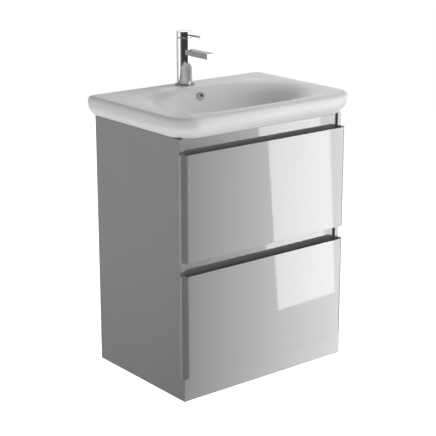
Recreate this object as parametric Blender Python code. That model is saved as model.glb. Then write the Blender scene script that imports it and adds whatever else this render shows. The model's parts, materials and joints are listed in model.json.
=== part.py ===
"""A floor-standing bathroom vanity: a gloss cabinet with two handleless drawers, a ceramic basin on top
and a single-lever tap. Metres, +Z up, drawers open towards -Y, the wall is the plane Y = WALL.

Depths are written as distances from the wall, so a depth of 0.406 lies at Y = WALL - 0.406.
"""

import math

import bmesh
import bpy
from mathutils import Matrix, Vector

# Driving dimensions
CABINET_WIDTH = 0.600
PANEL_DEPTH = 0.406
BASIN_DEPTH = 0.446
BASIN_WIDTH = 0.654
FOOT_HEIGHT = 0.758  # underside of the basin's rim
RIM_HEIGHT = 0.8205  # top of the basin's rim
TAP_TOP = 0.982
BOARD = 0.015
FIT = 0.0003  # play left between pieces that touch

# Derived places
WALL = BASIN_DEPTH / 2
HALF = CABINET_WIDTH / 2
INNER = HALF - BOARD  # inner faces of the side panels

# Drawer fronts, a little wider than the cabinet
FRONT_HALF = 0.3045
FRONT_BACK = 0.4083
FRONT_FACE = 0.428
FRONT_RADIUS = FRONT_FACE - FRONT_BACK
FINGER_DEPTH = 0.045
LIP = 0.0025
LIP_HEIGHT = 0.002
LOWER_FRONT = (0.0695, 0.373)
UPPER_FRONT = (0.412, 0.717)

# Fixed gloss rails between the fronts
RAIL_SET_BACK = 0.006
RAIL_DEPTHS = (PANEL_DEPTH - RAIL_SET_BACK - BOARD, PANEL_DEPTH - RAIL_SET_BACK)
TOP_RAIL = (0.672, FOOT_HEIGHT - FIT)
MIDDLE_RAIL = (0.342, 0.430)
PLINTH_TOP = 0.0677
FOOT_DEPTH = 0.422  # front of the plinth, and of the basin's underside
BOTTOM_TOP = 0.065
BACK_RAIL_GAP = 0.002
BRACKET_FOOT = 0.590

# Drawer boxes
BOX_WALL = 0.012
BOX_DEPTHS = (0.050, FRONT_BACK - FIT)
BOX_HALF = 0.2717
LOWER_BOX = (0.082, 0.330)
UPPER_BOX = (0.442, 0.655)
BOX_FLOOR = 0.010
FLOOR_LIFT = 0.004
RECESS_HALF = 0.072
RECESS_WALL = 0.006
RECESS_FRONT = 0.306

# Drawer runners, three telescoping channels on each side
RUNNER_SHEET = 0.0012
RUNNER_HALF_HEIGHT = 0.0225
RUNNER_PLAY = 0.0007
LOWER_RUNNER = 0.120
UPPER_RUNNER = 0.480

# Water fittings
BOWL_CENTRE = 0.246  # depth of the waste
TAP_DEPTH = 0.035
TAP_RADIUS = 0.0235
OVERFLOW_DEPTH = 0.1145
OVERFLOW_HEIGHT = 0.7975
OUTLET_HEIGHT = 0.603  # the trap's outlet pipe
PIPE_BORE = 0.0140
RING_POINTS = 48


def clear_scene():
    for thing in list(bpy.data.objects):
        bpy.data.objects.remove(thing, do_unlink=True)


def at(x, depth, z):
    """A point given by its distance from the wall."""
    return Vector((x, WALL - depth, z))


def make_material(name, colour, roughness, metallic=0.0):
    made = bpy.data.materials.new(name)
    made.use_nodes = True
    shader = made.node_tree.nodes["Principled BSDF"]
    shader.inputs["Base Color"].default_value = (*colour, 1.0)
    shader.inputs["Roughness"].default_value = roughness
    shader.inputs["Metallic"].default_value = metallic
    return made


def materials():
    return {
        "lacquer": make_material("gloss_lacquer", (0.50, 0.50, 0.50), 0.08),
        "board": make_material("melamine_board", (0.72, 0.72, 0.72), 0.45),
        "ceramic": make_material("ceramic", (0.86, 0.86, 0.86), 0.12),
        "chrome": make_material("chrome", (0.80, 0.80, 0.82), 0.06, 1.0),
        "steel": make_material("zinc_steel", (0.55, 0.56, 0.58), 0.35, 1.0),
        "plastic": make_material("white_plastic", (0.78, 0.78, 0.78), 0.40),
        "brass": make_material("brass", (0.70, 0.55, 0.28), 0.30, 1.0),
        "rubber": make_material("rubber", (0.06, 0.06, 0.06), 0.80),
        "timber": make_material("beech", (0.66, 0.48, 0.30), 0.60),
    }


def motion_frame(name, origin):
    """An empty on a joint's axis, which carries the pieces that move together."""
    frame = bpy.data.objects.new(name, None)
    frame.location = origin
    bpy.context.collection.objects.link(frame)
    return frame


def finish(mesh_data, name, origin, material, parent=None):
    """Turns a bmesh, built about its own origin, into a named object at that origin."""
    mesh = bpy.data.meshes.new(name)
    bmesh.ops.recalc_face_normals(mesh_data, faces=mesh_data.faces)
    mesh_data.to_mesh(mesh)
    mesh_data.free()
    mesh.shade_smooth()
    mesh.set_sharp_from_angle(angle=math.radians(35))
    made = bpy.data.objects.new(name, mesh)
    bpy.context.collection.objects.link(made)
    made.location = origin
    if parent:
        made.parent = parent
        made.location = Vector(origin) - parent.location
    if material:
        mesh.materials.append(material)
    return made


def block(name, xs, depths, zs, material, parent=None):
    """A rectangular board between two X values, two distances from the wall and two heights."""
    low, high = at(min(xs), max(depths), min(zs)), at(max(xs), min(depths), max(zs))
    shape = bmesh.new()
    size = Matrix.Diagonal((*(high - low), 1.0))
    bmesh.ops.create_cube(shape, size=1.0, matrix=size)
    return finish(shape, name, (low + high) / 2, material, parent)


def prism(name, outline, origin, along, material, parent=None):
    """A closed outline of local points, extruded by the vector along."""
    shape = bmesh.new()
    face = shape.faces.new([shape.verts.new(point) for point in outline])
    swept = bmesh.ops.extrude_face_region(shape, geom=[face])["geom"]
    bmesh.ops.translate(shape, vec=along, verts=[v for v in swept if isinstance(v, bmesh.types.BMVert)])
    return finish(shape, name, origin, material, parent)


def turned(name, profile, origin, material, axis=(0, 0, 1), parent=None, steps=24):
    """A turned piece: a closed outline of (radius, height) swept round an axis. Radius 0 closes on it."""
    shape = bmesh.new()
    turn = Vector((0, 0, 1)).rotation_difference(Vector(axis)).to_matrix()
    rings = []
    for radius, height in profile:
        if radius == 0:
            rings.append([shape.verts.new(turn @ Vector((0, 0, height)))] * steps)
            continue
        angles = [2 * math.pi * (i + 0.5) / steps for i in range(steps)]
        points = [Vector((radius * math.cos(a), radius * math.sin(a), height)) for a in angles]
        rings.append([shape.verts.new(turn @ point) for point in points])
    pairs = list(zip(rings, rings[1:] + rings[:1]))
    for first, second in pairs:
        if first[0] is first[1] and second[0] is second[1]:
            continue
        join_rings(shape, first, second)
    return finish(shape, name, origin, material, parent)


def join_rings(shape, first, second):
    count = len(first)
    for i in range(count):
        j = (i + 1) % count
        corners = list(dict.fromkeys((first[i], first[j], second[j], second[i])))
        shape.faces.new(corners)


def change(target, tool, operation):
    """Cuts or joins a helper shape with a Boolean, and hides the helper."""
    step = target.modifiers.new(tool.name, "BOOLEAN")
    step.operation = operation
    step.object = tool
    tool.display_type = "WIRE"
    tool.hide_render = True


def drill(target, name, origin, axis, radius, length, steps=16):
    """A round hole centred on origin."""
    profile = [(0, -length / 2), (radius, -length / 2), (radius, length / 2), (0, length / 2)]
    change(target, turned(name, profile, origin, None, axis, steps=steps), "DIFFERENCE")


def hexagon_nut(name, across_flats, bore, origin, thickness, material):
    """A hexagonal nut with its lower face at origin."""
    corner = across_flats / math.sqrt(3)
    angles = [math.radians(60 * i) for i in range(6)]
    outline = [Vector((corner * math.cos(a), corner * math.sin(a), 0)) for a in angles]
    nut = prism(name, outline, origin, Vector((0, 0, thickness)), material)
    middle = Vector(origin) + Vector((0, 0, thickness / 2))
    drill(nut, f"{name}_bore", middle, (0, 0, 1), bore, 3 * thickness, steps=24)
    return nut


# Cabinet


def side_panel(name, side, mats):
    xs = (side * INNER, side * HALF)
    panel = block(name, xs, (0, PANEL_DEPTH), (0, FOOT_HEIGHT - FIT), mats["lacquer"])
    for height in dowel_heights():
        origin = at(side * INNER, sum(RAIL_DEPTHS) / 2, height)
        drill(panel, f"{name}_dowel_hole_{height:.3f}", origin, (1, 0, 0), 0.0043, 0.0206)
    return panel


def dowel_heights():
    return [sum(TOP_RAIL) / 2, sum(MIDDLE_RAIL) / 2]


def front_rail(name, heights, mats):
    """A gloss strip between the panels, set back a little behind their front edges."""
    edge = INNER - FIT
    rail = block(name, (-edge, edge), RAIL_DEPTHS, heights, mats["lacquer"])
    for side in (-1, 1):
        origin = at(side * edge, sum(RAIL_DEPTHS) / 2, sum(heights) / 2)
        drill(rail, f"{name}_dowel_hole_{side}", origin, (1, 0, 0), 0.0043, 0.0246)
    return rail


def rail_dowel(name, side, height, mats):
    origin = at(side * (INNER - 0.0013), sum(RAIL_DEPTHS) / 2, height)
    profile = [(0, -0.0104), (0.004, -0.0104), (0.004, 0.0104), (0, 0.0104)]
    return turned(name, profile, origin, mats["timber"], (1, 0, 0), steps=12)


def wall_bracket(name, side, mats):
    """A folded steel angle: one leaf on the side panel, the other against the wall with a screw hole."""
    sheet, leaf = 0.002, 0.040
    x = INNER - FIT
    fold = x - sheet
    outline = [
        (x - leaf, FIT),
        (x, FIT),
        (x, leaf),
        (fold, leaf),
        (fold, FIT + sheet),
        (x - leaf, FIT + sheet),
    ]
    points = [Vector((side * px, WALL - depth, 0)) for px, depth in outline]
    bracket = prism(name, points, (0, 0, BRACKET_FOOT), Vector((0, 0, leaf)), mats["steel"])
    hole = at(side * (x - 0.026), FIT + sheet / 2, BRACKET_FOOT + leaf / 2)
    drill(bracket, f"{name}_hole", hole, (0, 1, 0), 0.003, 0.010)
    return bracket


def cabinet(mats):
    side_panel("left_side_panel", -1, mats)
    side_panel("right_side_panel", 1, mats)
    between = (-INNER + FIT, INNER - FIT)
    back_rail = (BACK_RAIL_GAP, BACK_RAIL_GAP + BOARD)
    block("bottom_panel", between, (0.020, 0.403), (BOTTOM_TOP - BOARD, BOTTOM_TOP), mats["board"])
    block("plinth_board", (-HALF, HALF), (PANEL_DEPTH + FIT, FOOT_DEPTH), (0, PLINTH_TOP), mats["lacquer"])
    block("upper_back_rail", between, back_rail, (0.650, FOOT_HEIGHT - FIT), mats["board"])
    block("lower_back_rail", between, back_rail, (BOTTOM_TOP + FIT, 0.165), mats["board"])
    front_rail("top_front_rail", TOP_RAIL, mats)
    front_rail("middle_front_rail", MIDDLE_RAIL, mats)
    for word, side in (("left", -1), ("right", 1)):
        wall_bracket(f"{word}_wall_bracket", side, mats)
        for row, height in zip(("top", "middle"), dowel_heights()):
            rail_dowel(f"{word}_{row}_rail_dowel", side, height, mats)


# Drawers


def drawer_front(name, heights, mats, parent):
    """A thick slab with full-round vertical edges, thinned to a lip at the top so fingers reach behind it."""
    arc = [math.radians(90 * i / 6) for i in range(7)]
    bend = FRONT_HALF - FRONT_RADIUS
    right = [(bend + FRONT_RADIUS * math.cos(a), FRONT_BACK + FRONT_RADIUS * math.sin(a)) for a in arc]
    left = [(-x, depth) for x, depth in reversed(right)]
    outline = [Vector((x, WALL - depth, 0)) for x, depth in right + left]
    tall = Vector((0, 0, heights[1] - heights[0]))
    front = prism(name, outline, (0, 0, heights[0]), tall, mats["lacquer"], parent)
    reach = bend + 0.006
    wedge = [
        (FRONT_BACK - 0.010, -FINGER_DEPTH - 0.012),
        (FRONT_BACK - 0.010, 0.010),
        (FRONT_FACE - LIP, 0.010),
        (FRONT_FACE - LIP, -LIP_HEIGHT),
        (FRONT_BACK, -FINGER_DEPTH),
    ]
    points = [Vector((-reach, WALL - depth, z)) for depth, z in wedge]
    cutter = prism(f"{name}_finger_cut", points, (0, 0, heights[1]), Vector((2 * reach, 0, 0)), None, parent)
    change(front, cutter, "DIFFERENCE")
    return front


def runner_channel(name, side, outer, inner, depths, height, half_height, opening, mats, parent=None):
    """A sheet-metal channel on its side. Opening is 1 where it is open towards the cabinet panel."""
    sheet = RUNNER_SHEET
    web, lips = (inner, outer) if opening > 0 else (outer, inner)
    step = sheet if lips > web else -sheet
    outline = [
        (web, half_height),
        (lips, half_height),
        (lips, half_height - sheet),
        (web + step, half_height - sheet),
        (web + step, sheet - half_height),
        (lips, sheet - half_height),
        (lips, -half_height),
        (web, -half_height),
    ]
    points = [Vector((side * x, WALL - depths[0], z)) for x, z in outline]
    along = Vector((0, depths[0] - depths[1], 0))
    return prism(name, points, (0, 0, height), along, mats["steel"], parent)


def runner(drawer, word, side, height, mats, drawer_frame, middle_frame):
    """Cabinet, middle and drawer members, each nested in the last with play all round."""
    outer = INNER - FIT
    play, sheet = RUNNER_PLAY, RUNNER_SHEET
    middle_outer = outer - sheet - play
    middle_half = RUNNER_HALF_HEIGHT - sheet - play
    slider_outer = middle_outer - sheet - play
    slider_half = middle_half - sheet - play
    label = f"{drawer}_{word}_runner"
    runner_channel(
        f"{label}_cabinet_member", side, outer, 0.2765, (0.040, 0.385), height, RUNNER_HALF_HEIGHT, -1, mats
    )
    runner_channel(
        f"{label}_middle_member", side, middle_outer, 0.2746, (0.044, 0.386), height, middle_half, -1,
        mats, middle_frame
    )
    runner_channel(
        f"{label}_drawer_member", side, slider_outer, BOX_HALF + FIT, (0.052, 0.388), height, slider_half, 1,
        mats, drawer_frame
    )


def box_side(name, side, heights, mats, parent):
    xs = (side * (BOX_HALF - BOX_WALL), side * BOX_HALF)
    return block(name, xs, BOX_DEPTHS, heights, mats["board"], parent)


def lower_drawer(mats):
    frame = motion_frame("lower_drawer_motion", at(0, FRONT_FACE, sum(LOWER_FRONT) / 2))
    middle = motion_frame("lower_runner_motion", at(0, 0.386, LOWER_RUNNER))
    drawer_front("lower_drawer_front", LOWER_FRONT, mats, frame)
    inside = BOX_HALF - BOX_WALL - FIT
    floor = (LOWER_BOX[0] + FLOOR_LIFT, LOWER_BOX[0] + FLOOR_LIFT + BOX_FLOOR)
    block("lower_drawer_bottom", (-inside, inside), BOX_DEPTHS, floor, mats["board"], frame)
    back = (BOX_DEPTHS[0], BOX_DEPTHS[0] + BOX_WALL)
    block("lower_drawer_back", (-inside, inside), back, (floor[1] + FIT, LOWER_BOX[1]), mats["board"], frame)
    for word, side in (("left", -1), ("right", 1)):
        box_side(f"lower_drawer_{word}_side", side, LOWER_BOX, mats, frame)
        runner("lower", word, side, LOWER_RUNNER, mats, frame, middle)


def recess_outline(half, front):
    return [(-half, BOX_DEPTHS[0]), (-half, front), (half, front), (half, BOX_DEPTHS[0])]


def upper_drawer(mats):
    """The upper box is notched from the back, so that it passes round the waste trap."""
    frame = motion_frame("upper_drawer_motion", at(0, FRONT_FACE, sum(UPPER_FRONT) / 2))
    middle = motion_frame("upper_runner_motion", at(0, 0.386, UPPER_RUNNER))
    drawer_front("upper_drawer_front", UPPER_FRONT, mats, frame)
    inside = BOX_HALF - BOX_WALL - FIT
    floor = (UPPER_BOX[0] + FLOOR_LIFT, UPPER_BOX[0] + FLOOR_LIFT + BOX_FLOOR)
    notch = recess_outline(RECESS_HALF + FIT, RECESS_FRONT + FIT)
    outline = [(-inside, BOX_DEPTHS[0]), *notch, (inside, BOX_DEPTHS[0])]
    outline += [(inside, BOX_DEPTHS[1]), (-inside, BOX_DEPTHS[1])]
    points = [Vector((x, WALL - depth, 0)) for x, depth in outline]
    thick = Vector((0, 0, BOX_FLOOR))
    prism("upper_drawer_bottom", points, (0, 0, floor[0]), thick, mats["board"], frame)
    inner = recess_outline(RECESS_HALF - RECESS_WALL, RECESS_FRONT - RECESS_WALL)
    ring = recess_outline(RECESS_HALF, RECESS_FRONT) + inner[::-1]
    points = [Vector((x, WALL - depth, 0)) for x, depth in ring]
    tall = Vector((0, 0, UPPER_BOX[1] - floor[0]))
    prism("siphon_recess", points, (0, 0, floor[0]), tall, mats["plastic"], frame)
    back = (BOX_DEPTHS[0], BOX_DEPTHS[0] + BOX_WALL)
    for word, side in (("left", -1), ("right", 1)):
        xs = (side * (RECESS_HALF + FIT), side * inside)
        block(f"upper_drawer_{word}_back", xs, back, (floor[1] + FIT, UPPER_BOX[1]), mats["board"], frame)
        box_side(f"upper_drawer_{word}_side", side, UPPER_BOX, mats, frame)
        runner("upper", word, side, UPPER_RUNNER, mats, frame, middle)


# Basin


def square_direction(i, count):
    """The i-th of count points round a square of half-side 1, closest together near its corners."""
    side, step = divmod(i, count // 4)
    along = math.sin(math.pi * (step / (count // 4) - 0.5))
    return [(1, along), (-along, 1), (-1, -along), (along, -1)][side]


def rounded_ring(half_width, back, front, height, front_radius, back_radius):
    """A rectangle in plan between two depths, with rounded front and back corners."""
    centre, half_depth = (back + front) / 2, (front - back) / 2
    points = []
    for i in range(RING_POINTS):
        u, v = square_direction(i, RING_POINTS)
        x, y = half_width * u, half_depth * v
        radius = front_radius if y > 0 else back_radius
        over_x, over_y = abs(x) - (half_width - radius), abs(y) - (half_depth - radius)
        if over_x > 0 and over_y > 0:
            scale = max(over_x, over_y) / math.hypot(over_x, over_y)
            x = math.copysign(half_width - radius + over_x * scale, x)
            y = math.copysign(half_depth - radius + over_y * scale, y)
        points.append(at(x, centre + y, height))
    return points


def bowl_ring(half_width, back, front, height, power=2.8):
    """A superellipse in plan between two depths."""
    centre, half_depth = (back + front) / 2, (front - back) / 2
    points = []
    for i in range(RING_POINTS):
        u, v = square_direction(i, RING_POINTS)
        scale = (abs(u) ** power + abs(v) ** power) ** (-1 / power)
        points.append(at(half_width * u * scale, centre + half_depth * v * scale, height))
    return points


def basin_rings():
    """Rings up the outer side, over the rim, down the bowl, through the waste hole and back up underneath."""
    half_foot = CABINET_WIDTH / 2 - 0.001
    half = BASIN_WIDTH / 2
    outside = [
        (half_foot, FOOT_DEPTH, FOOT_HEIGHT, 0.060),
        (0.311, 0.431, 0.770, 0.064),
        (0.321, 0.440, 0.784, 0.068),
        (half, BASIN_DEPTH, 0.799, 0.070),
        (half, BASIN_DEPTH, 0.807, 0.070),
        (0.322, 0.441, 0.8145, 0.066),
        (0.312, 0.431, 0.8192, 0.060),
        (0.300, 0.420, RIM_HEIGHT, 0.055),
    ]
    rings = [rounded_ring(w, 0, front, z, radius, 0.004) for w, front, z, radius in outside]
    hole = 0.0225
    bowl = [
        (0.284, 0.092, 0.404, RIM_HEIGHT),
        (0.262, 0.102, 0.396, 0.814),
        (0.232, 0.114, 0.385, 0.798),
        (0.194, 0.131, 0.366, 0.766),
        (0.156, 0.152, 0.342, 0.735),
        (0.108, 0.180, 0.312, 0.712),
        (0.058, 0.210, 0.282, 0.704),
    ]
    rings += [bowl_ring(*row) for row in bowl]
    rings.append(bowl_ring(hole, BOWL_CENTRE - hole, BOWL_CENTRE + hole, 0.702, power=2))
    rings.append(bowl_ring(hole, BOWL_CENTRE - hole, BOWL_CENTRE + hole, 0.688, power=2))
    belly = [
        (0.066, 0.203, 0.289, 0.690),
        (0.118, 0.170, 0.322, 0.698),
        (0.172, 0.140, 0.354, 0.722),
        (0.212, 0.119, 0.378, 0.755),
        (0.246, 0.104, 0.392, 0.785),
    ]
    rings += [bowl_ring(*row) for row in belly]
    rings.append(bowl_ring(0.264, 0.096, 0.397, 0.798, power=3.2))
    rings.append(rounded_ring(0.268, 0.011, 0.400, 0.798, 0.060, 0.004))
    rings.append(rounded_ring(0.270, 0.010, 0.402, FOOT_HEIGHT, 0.060, 0.004))
    return rings


def overflow_axis():
    """Square to the bowl's back wall, out of the wall into the bowl."""
    return Vector((0, -0.83, 0.55)).normalized()


def basin(mats):
    shape = bmesh.new()
    rings = [[shape.verts.new(point) for point in ring] for ring in basin_rings()]
    for first, second in zip(rings, rings[1:] + rings[:1]):
        join_rings(shape, first, second)
    bmesh.ops.triangulate(shape, faces=shape.faces)
    made = finish(shape, "basin", (0, 0, 0), mats["ceramic"])
    drill(made, "basin_tap_hole", at(0, TAP_DEPTH, RIM_HEIGHT), (0, 0, 1), 0.0175, 0.080, steps=24)
    mouth = at(0, OVERFLOW_DEPTH, OVERFLOW_HEIGHT)
    drill(made, "basin_overflow_hole", mouth, overflow_axis(), 0.008, 0.016)
    return made


def overflow_ring(mats):
    """A flanged ring pushed into the overflow hole."""
    stand_off = 0.0016
    profile = [
        (0.0062, 0.0030),
        (0.0062, -0.0070),
        (0.0074, -0.0070),
        (0.0074, 0),
        (0.0118, 0),
        (0.0118, 0.0010),
        (0.0098, 0.0030),
    ]
    origin = at(0, OVERFLOW_DEPTH, OVERFLOW_HEIGHT) + overflow_axis() * stand_off
    return turned("overflow_ring", profile, origin, mats["chrome"], overflow_axis())


def waste(mats):
    """The pop-up waste: flanged body, seal and nut under the basin, and the plug that is pressed down."""
    profile = [
        (0.0195, 0.7078),
        (0.0195, 0.640),
        (0.0220, 0.640),
        (0.0220, 0.7046),
        (0.0315, 0.7046),
        (0.0315, 0.7060),
        (0.0290, 0.7078),
    ]
    body = turned("waste_body", profile, at(0, BOWL_CENTRE, 0), mats["chrome"])
    bridge_depths = (BOWL_CENTRE - 0.004, BOWL_CENTRE + 0.004)
    bridge = block("waste_bridge", (-0.0205, 0.0205), bridge_depths, (0.655, 0.662), None)
    change(body, bridge, "UNION")
    drill(body, "waste_stem_hole", at(0, BOWL_CENTRE, 0.6585), (0, 0, 1), 0.0029, 0.020, steps=12)
    ring = [(0.0224, 0.6748), (0.0320, 0.6748), (0.0320, 0.6872), (0.0224, 0.6872)]
    turned("waste_seal", ring, at(0, BOWL_CENTRE, 0), mats["rubber"])
    hexagon_nut("waste_nut", 0.056, 0.0224, at(0, BOWL_CENTRE, 0.6630), 0.0115, mats["brass"])
    frame = motion_frame("waste_plug_motion", at(0, BOWL_CENTRE, 0.7145))
    plug = [
        (0, -0.0660),
        (0.0025, -0.0660),
        (0.0025, 0),
        (0.0300, 0),
        (0.0300, 0.0020),
        (0.0220, 0.0040),
        (0, 0.0048),
    ]
    turned("waste_plug", plug, frame.location, mats["chrome"], parent=frame)


def trap(mats):
    """A bottle trap: body with its dip tube, cleaning cup, outlet pipe to the wall, nut and wall plate."""
    body_outline = [
        (0.0224, 0.648),
        (0.0224, 0.630),
        (0.0160, 0.630),
        (0.0160, 0.560),
        (0.0180, 0.560),
        (0.0180, 0.6255),
        (0.0275, 0.6255),
        (0.0275, 0.5650),
        (0.0300, 0.5650),
        (0.0300, 0.6270),
        (0.0262, 0.6320),
        (0.0262, 0.6480),
    ]
    body = turned("trap_body", body_outline, at(0, BOWL_CENTRE, 0), mats["chrome"])
    outlet = at(0, BOWL_CENTRE - 0.0305, OUTLET_HEIGHT)
    drill(body, "trap_outlet_hole", outlet, (0, 1, 0), PIPE_BORE, 0.020)
    cup = [
        (0, 0.5400),
        (0.0260, 0.5400),
        (0.0305, 0.5440),
        (0.0305, 0.5647),
        (0.0268, 0.5647),
        (0.0268, 0.5450),
        (0, 0.5450),
    ]
    turned("trap_cup", cup, at(0, BOWL_CENTRE, 0), mats["chrome"])
    pipe_length = WALL - outlet.y - 0.001
    pipe = [(PIPE_BORE, 0), (0.0160, 0), (0.0160, pipe_length), (PIPE_BORE, pipe_length)]
    back = (0, 1, 0)
    turned("trap_outlet_pipe", pipe, outlet, mats["chrome"], back)
    nut = [(0.0163, 0.004), (0.0210, 0.004), (0.0210, 0.026), (0.0163, 0.026)]
    turned("trap_outlet_nut", nut, outlet, mats["chrome"], back)
    plate = [(0.0163, 0), (0.0190, 0), (0.0310, 0.0050), (0.0310, 0.0060), (0.0163, 0.0060)]
    turned("wall_plate", plate, at(0, 0.0065, OUTLET_HEIGHT), mats["chrome"], back)


# Tap


def tap_body_pieces(mats):
    base = at(0, TAP_DEPTH, RIM_HEIGHT)
    ring = [(0.0120, FIT), (0.0300, FIT), (0.0300, 0.0020), (0.0290, 0.0030), (0.0120, 0.0030)]
    turned("tap_base_ring", ring, base, mats["chrome"], steps=32)
    r = TAP_RADIUS
    body = [
        (0, 0.0236),
        (0.0052, 0.0236),
        (0.0052, 0.0034),
        (r - 0.0005, 0.0034),
        (r, 0.0040),
        (r, 0.1415),
        (r - 0.0005, 0.1420),
        (0.0190, 0.1420),
        (0.0190, 0.0950),
        (0, 0.0950),
    ]
    turned("tap_body", body, base, mats["chrome"], steps=32)
    cartridge = [
        (0.0060, 0.0953),
        (0.0186, 0.0953),
        (0.0186, 0.1360),
        (0.0150, 0.1400),
        (0.0060, 0.1400),
    ]
    turned("tap_cartridge", cartridge, base, mats["plastic"])
    stud = [(0, -0.0500), (0.0040, -0.0500), (0.0040, 0.0200), (0, 0.0200)]
    turned("tap_fixing_stud", stud, base, mats["brass"], steps=12)
    washer = [(0.0045, -0.0270), (0.0215, -0.0270), (0.0215, -0.0230), (0.0045, -0.0230)]
    turned("tap_fixing_washer", washer, base, mats["steel"])
    hexagon_nut("tap_fixing_nut", 0.015, 0.0045, base - Vector((0, 0, 0.0350)), 0.0075, mats["brass"])


def tap_spout(mats):
    """A straight rectangular bar, hollowed at its tip for the aerator."""
    length = (TAP_DEPTH + TAP_RADIUS + FIT + 0.0002, 0.164)
    heights = (0.9130, 0.9292)
    half = 0.0145
    spout = block("tap_spout", (-half, half), length, heights, mats["chrome"])
    outlet = at(0, length[1] - 0.014, heights[0])
    drill(spout, "tap_spout_outlet", outlet, (0, 0, 1), 0.0105, 0.016)
    aerator = [
        (0.0070, -0.0008),
        (0.0100, -0.0008),
        (0.0100, 0.0070),
        (0, 0.0070),
        (0, 0.0050),
        (0.0070, 0.0050),
    ]
    turned("tap_aerator", aerator, outlet, mats["chrome"])


def tap_lever_pieces(mats):
    """The stem turns about the upright axis. The cap and lever turn with it, and lift about the rear edge."""
    joint = RIM_HEIGHT + 0.1420
    swivel = motion_frame("tap_swivel_motion", at(0, TAP_DEPTH, joint))
    stem = [
        (0, -0.0120),
        (0.0055, -0.0120),
        (0.0055, 0.0020),
        (0.0040, 0.0035),
        (0.0040, 0.0090),
        (0, 0.0090),
    ]
    turned("tap_stem", stem, swivel.location, mats["brass"], parent=swivel, steps=16)
    rear_edge = at(0, TAP_DEPTH - TAP_RADIUS + 0.002, joint + 0.0010)
    lift = motion_frame("tap_lift_motion", rear_edge - swivel.location)
    lift.parent = swivel
    top = TAP_TOP - joint
    r = TAP_RADIUS
    cap = [
        (0, top),
        (r - 0.0010, top),
        (r, top - 0.0010),
        (r, 0.0016),
        (r - 0.0005, 0.0010),
        (0.0200, 0.0010),
        (0.0200, top - 0.0040),
        (0, top - 0.0040),
    ]
    made = turned("tap_cap", cap, swivel.location, mats["chrome"], steps=32)
    made.parent = lift
    made.location = swivel.location - rear_edge
    lever = [
        (0, 0),
        (0.0030, 0),
        (0.0028, 0.0520),
        (0.0020, 0.0535),
        (0, 0.0535),
    ]
    root = at(0, TAP_DEPTH + TAP_RADIUS + FIT + 0.0001, 0.9716)
    rod = turned("tap_lever", lever, root, mats["chrome"], (0, -1, 0), steps=16)
    rod.parent = lift
    rod.location = root - rear_edge


def tap(mats):
    tap_body_pieces(mats)
    tap_spout(mats)
    tap_lever_pieces(mats)


def main():
    clear_scene()
    mats = materials()
    cabinet(mats)
    lower_drawer(mats)
    upper_drawer(mats)
    basin(mats)
    overflow_ring(mats)
    waste(mats)
    trap(mats)
    tap(mats)


main()
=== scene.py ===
import json
import math

import bmesh
import bpy
import numpy as np
from mathutils import Matrix, Vector


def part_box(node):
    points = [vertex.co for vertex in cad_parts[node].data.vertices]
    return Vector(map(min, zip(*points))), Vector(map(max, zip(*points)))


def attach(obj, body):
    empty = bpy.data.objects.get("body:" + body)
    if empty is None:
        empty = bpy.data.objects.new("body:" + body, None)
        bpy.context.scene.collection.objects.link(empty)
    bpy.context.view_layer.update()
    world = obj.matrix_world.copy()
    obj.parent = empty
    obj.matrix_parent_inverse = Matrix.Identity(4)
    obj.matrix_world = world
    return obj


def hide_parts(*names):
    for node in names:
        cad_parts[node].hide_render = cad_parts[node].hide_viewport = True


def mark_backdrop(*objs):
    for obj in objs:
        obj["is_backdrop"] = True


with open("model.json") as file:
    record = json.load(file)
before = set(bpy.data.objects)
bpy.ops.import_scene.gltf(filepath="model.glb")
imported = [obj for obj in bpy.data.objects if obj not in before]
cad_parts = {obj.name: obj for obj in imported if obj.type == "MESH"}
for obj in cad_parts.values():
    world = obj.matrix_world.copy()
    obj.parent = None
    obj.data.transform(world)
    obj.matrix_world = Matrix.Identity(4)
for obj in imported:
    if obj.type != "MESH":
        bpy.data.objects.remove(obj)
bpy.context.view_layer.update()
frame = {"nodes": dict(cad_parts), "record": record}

NODES = frame["nodes"]
BODIES = frame["record"]["behaviour"]["bodies"]
BODY_OF = {node: body for body, nodes in BODIES.items() for node in nodes}
SLOT_OF = {part["node"]: part["material_slot"] for part in frame["record"]["subparts"]}

# The same frame as the CAD, in metres. Depths are measured from the wall, which is at Y = WALL.
WALL = 0.223
FRONT_HALF = 0.3045  # half the width of a drawer front
RIM = 0.8205  # height of the basin's rim
BOWL_CENTRE = 0.246  # depth of the waste and the trap
OUTLET_HEIGHT = 0.603  # height of the trap's outlet pipe
TAP_DEPTH = 0.035
TAP_RADIUS = 0.0235
TAP_JOINT = 0.9625  # height of the joint between the tap's body and its head
TAP_TOP = 0.982

UP = (0, 0, 1)
TO_WALL = (0, 1, 0)
TO_FRONT = (0, -1, 0)


def at(x, depth, z):
    """A point by its distance from the middle, from the wall and from the floor."""
    return Vector((x, WALL - depth, z))


# ---------------------------------------------------------------- materials

# The part of a noise's range that is spread over a look's whole range.
NOISE_LOW, NOISE_HIGH = 0.3, 0.7


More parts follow.
